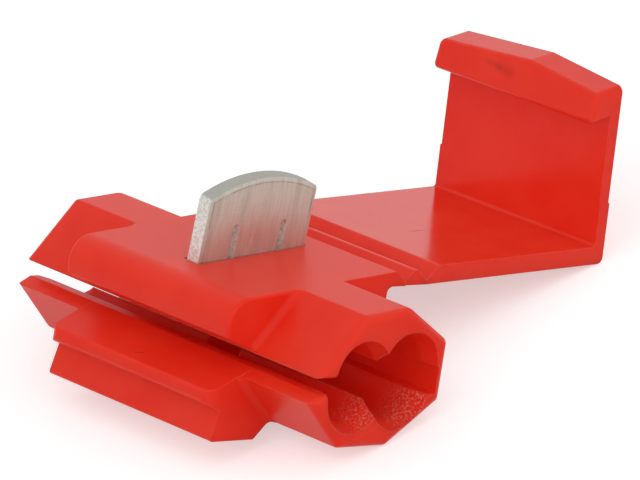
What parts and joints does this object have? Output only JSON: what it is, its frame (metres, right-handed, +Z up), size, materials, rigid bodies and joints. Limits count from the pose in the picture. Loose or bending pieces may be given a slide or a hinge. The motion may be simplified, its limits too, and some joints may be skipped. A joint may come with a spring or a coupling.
{
  "type": "t-tap connector",
  "caption": "Plastic tap splice with side-by-side wire channels, a fold-over latching cover on living hinges and a stamped U-contact standing in its slot.",
  "frame": {"origin": "on the floor under the middle of the whole part's box, with the part lying open at rest", "axes": "+X from the open mouth towards the hinge and cover, +Y along the wires, +Z up from the floor"},
  "size_m": [0.0262, 0.02, 0.0097],
  "materials": {
    "red_plastic": "satin moulded polypropylene",
    "tinned_metal": "tin plated, sheared edges"
  },
  "bodies": {
    "housing_body": {"housing": "red_plastic"},
    "rib_body": {"hinge_rib": "red_plastic"},
    "cover_body": {"cover": "red_plastic"},
    "contact_body": {"contact": "tinned_metal"}
  },
  "joints": [
    {"name": "contact_press", "type": "slide", "parent": "housing_body", "child": "contact_body", "axis": [-0.3221, 0.1219, -0.9388], "range_m": [0, 0.0033]},
    {"name": "rib_fold", "type": "hinge", "parent": "housing_body", "child": "rib_body", "pos_m": [-0.00108, 0, 0.00411], "axis": [0, -1, 0], "range_deg": [0, 80]},
    {"name": "cover_fold", "type": "hinge", "parent": "rib_body", "child": "cover_body", "pos_m": [0.00015, 0, 0.00361], "axis": [0, -1, 0], "range_deg": [0, 80]}
  ],
  "couplings": [
    {"joint": "rib_fold", "follows": "contact_press", "rad_per_m": 423.11},
    {"joint": "cover_fold", "follows": "contact_press", "rad_per_m": 423.11}
  ]
}
